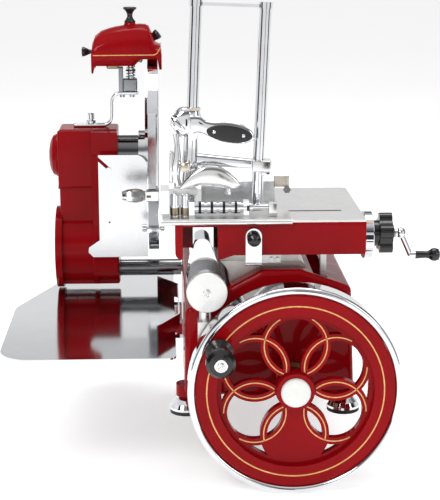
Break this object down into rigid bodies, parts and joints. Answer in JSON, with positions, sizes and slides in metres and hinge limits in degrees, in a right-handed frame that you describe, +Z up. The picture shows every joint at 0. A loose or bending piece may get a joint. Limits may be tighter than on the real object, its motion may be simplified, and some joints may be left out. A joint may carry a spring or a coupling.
{
  "type": "deli meat slicer",
  "caption": "Hand-cranked flywheel meat slicer with a round blade, sliding carriage, meat clamp, sharpener and receiving tray.",
  "frame": {"origin": "centre of the four feet, on the plane they stand on", "axes": "+X to the operator's right, +Y away from the operator, +Z up"},
  "size_m": [0.6436, 0.651, 0.6933],
  "materials": {
    "red_enamel": "gloss",
    "chrome": "polished",
    "blade_steel": "polished",
    "satin_steel": "satin",
    "machined_steel": "satin",
    "black_plastic": "gloss",
    "ivory_cap": "satin",
    "bronze": "satin",
    "rubber": "matte",
    "abrasive": "matte"
  },
  "bodies": {
    "root": {"base_casting": "red_enamel", "feet": "chrome", "foot_pads": "rubber", "top_cover": "satin_steel", "bearing_plates": "machined_steel", "shaft_bushes": "bronze", "guide_rod": "chrome", "guide_rod_mounts": "chrome", "shaft_tubes": "machined_steel", "blade_casing": "red_enamel", "casing_hub_cover": "red_enamel", "blade_guard": "chrome", "drive_chain": "machined_steel", "deflector_plate": "satin_steel", "receiving_tray": "satin_steel", "tray_supports": "satin_steel", "sharpener_arm": "chrome", "machine_screws": "chrome", "sharpener_spring": "machined_steel"},
    "deflector_screw": {"deflector_knob": "chrome"},
    "flywheel": {"flywheel": "red_enamel", "flywheel_rim": "chrome", "flywheel_hub_cap": "ivory_cap", "main_shaft": "machined_steel", "main_gear": "machined_steel", "grip_spindle": "chrome"},
    "grip": {"flywheel_grip": "black_plastic"},
    "idler": {"idler_gear": "machined_steel"},
    "layshaft": {"layshaft": "machined_steel"},
    "cross_shaft": {"cross_shaft": "machined_steel"},
    "countershaft": {"countershaft": "machined_steel"},
    "crank": {"crank_shaft": "machined_steel"},
    "rocker": {"rocker_arm": "machined_steel"},
    "conrod": {"connecting_rod": "machined_steel"},
    "blade": {"blade": "blade_steel", "blade_shaft": "machined_steel"},
    "carriage": {"carriage_beam": "red_enamel", "dial_collar": "chrome", "table_plate": "satin_steel", "guide_sleeve": "chrome", "drive_tongue": "satin_steel"},
    "lock": {"lock_lever": "chrome", "lock_knob": "black_plastic"},
    "dial": {"thickness_dial": "black_plastic"},
    "feed_crank": {"lead_screw": "machined_steel", "feed_crank": "chrome"},
    "feed_grip": {"feed_grip": "black_plastic"},
    "feed_slide": {"feed_slide": "satin_steel", "clamp_columns": "chrome", "fence_plate": "chrome", "gripper_bar": "chrome"},
    "clamp": {"clamp_head": "chrome"},
    "clamp_handle": {"clamp_handle": "chrome", "clamp_scales": "black_plastic"},
    "clamp_lever": {"clamp_lever": "chrome"},
    "sharpener": {"sharpener_hood": "red_enamel", "sharpener_shaft": "chrome", "hood_knobs": "black_plastic"},
    "stone": {"sharpening_stone": "abrasive", "stone_knob": "black_plastic"}
  },
  "joints": [
    {"name": "flywheel_spin", "type": "hinge", "parent": "root", "child": "flywheel", "pos_m": [0.036, -0.266, 0.064], "axis": [0, 1, 0], "continuous": true},
    {"name": "grip_spin", "type": "hinge", "parent": "flywheel", "child": "grip", "pos_m": [-0.07225, -0.3, 0.1265], "axis": [0, 1, 0], "continuous": true},
    {"name": "idler_spin", "type": "hinge", "parent": "root", "child": "idler", "pos_m": [0.036, -0.15, 0.102], "axis": [0, 1, 0], "continuous": true},
    {"name": "layshaft_spin", "type": "hinge", "parent": "root", "child": "layshaft", "pos_m": [0.036, -0.02, 0.14], "axis": [0, 1, 0], "continuous": true},
    {"name": "cross_shaft_spin", "type": "hinge", "parent": "root", "child": "cross_shaft", "pos_m": [-0.15, 0.16, 0.14], "axis": [1, 0, 0], "continuous": true},
    {"name": "countershaft_spin", "type": "hinge", "parent": "root", "child": "countershaft", "pos_m": [-0.27, 0.16, 0.178], "axis": [1, 0, 0], "continuous": true},
    {"name": "crank_spin", "type": "hinge", "parent": "root", "child": "crank", "pos_m": [0.058, 0.16, 0.14], "axis": [1, 0, 0], "continuous": true},
    {"name": "blade_spin", "type": "hinge", "parent": "root", "child": "blade", "pos_m": [-0.2, 0.16, 0.333], "axis": [1, 0, 0], "continuous": true},
    {"name": "carriage_slide", "type": "slide", "parent": "root", "child": "carriage", "axis": [0, 1, 0], "range_m": [0, 0.22]},
    {"name": "rocker_swing", "type": "hinge", "parent": "root", "child": "rocker", "pos_m": [0.073, -0.057, 0.048], "axis": [1, 0, 0], "range_deg": [-81, 1]},
    {"name": "conrod_swing", "type": "hinge", "parent": "rocker", "child": "conrod", "pos_m": [0.0655, -0.07636, 0.07091], "axis": [1, 0, 0], "range_deg": [-1, 84]},
    {"name": "feed_slide", "type": "slide", "parent": "carriage", "child": "feed_slide", "axis": [1, 0, 0], "range_m": [0, 0.105]},
    {"name": "feed_crank_turn", "type": "hinge", "parent": "carriage", "child": "feed_crank", "pos_m": [0.2, -0.15, 0.267], "axis": [1, 0, 0], "range_deg": [-5, 1895]},
    {"name": "feed_grip_spin", "type": "hinge", "parent": "feed_crank", "child": "feed_grip", "pos_m": [0.235, -0.15, 0.234], "axis": [1, 0, 0], "continuous": true},
    {"name": "thickness_dial_turn", "type": "hinge", "parent": "carriage", "child": "dial", "pos_m": [0.18, -0.15, 0.267], "axis": [1, 0, 0], "range_deg": [0, 300]},
    {"name": "lock_lever_swing", "type": "hinge", "parent": "carriage", "child": "lock", "pos_m": [-0.02, -0.193, 0.2335], "axis": [1, 0, 0], "range_deg": [0, 30]},
    {"name": "clamp_slide", "type": "slide", "parent": "feed_slide", "child": "clamp", "axis": [0.0384, 0, 0.9993], "range_m": [0, 0.13]},
    {"name": "clamp_handle_swing", "type": "hinge", "parent": "clamp", "child": "clamp_handle", "pos_m": [-0.10328, -0.158, 0.42298], "axis": [0, 1, 0], "range_deg": [0, 25]},
    {"name": "clamp_lever_swing", "type": "hinge", "parent": "clamp", "child": "clamp_lever", "pos_m": [-0.1147, -0.17, 0.37338], "axis": [0, 1, 0], "range_deg": [-6, 8]},
    {"name": "deflector_knob_turn", "type": "hinge", "parent": "root", "child": "deflector_screw", "pos_m": [-0.17, 0.0088, 0.2937], "axis": [1, 0, 0], "range_deg": [0, 720]},
    {"name": "sharpener_press", "type": "slide", "parent": "root", "child": "sharpener", "axis": [0, 0, 1], "range_m": [-0.006, 0], "stiffness_N_per_m": 900, "springref_m": 0.012, "deforming": ["sharpener_spring"]},
    {"name": "stone_push", "type": "slide", "parent": "sharpener", "child": "stone", "axis": [1, 0, 0], "range_m": [0, 0.003], "stiffness_N_per_m": 300, "springref_m": -0.004}
  ],
  "couplings": [
    {"joint": "idler_spin", "follows": "flywheel_spin", "ratio": -1},
    {"joint": "layshaft_spin", "follows": "flywheel_spin", "ratio": 1},
    {"joint": "cross_shaft_spin", "follows": "flywheel_spin", "ratio": -1},
    {"joint": "countershaft_spin", "follows": "flywheel_spin", "ratio": 0.5},
    {"joint": "crank_spin", "follows": "flywheel_spin", "ratio": 1},
    {"joint": "blade_spin", "follows": "flywheel_spin", "ratio": 1},
    {"joint": "rocker_swing", "follows": "carriage_slide", "rad_per_m": -6.3784},
    {"joint": "conrod_swing", "follows": "carriage_slide", "rad_per_m": 6.612},
    {"joint": "feed_crank_turn", "follows": "feed_slide", "rad_per_m": 314.16}
  ]
}
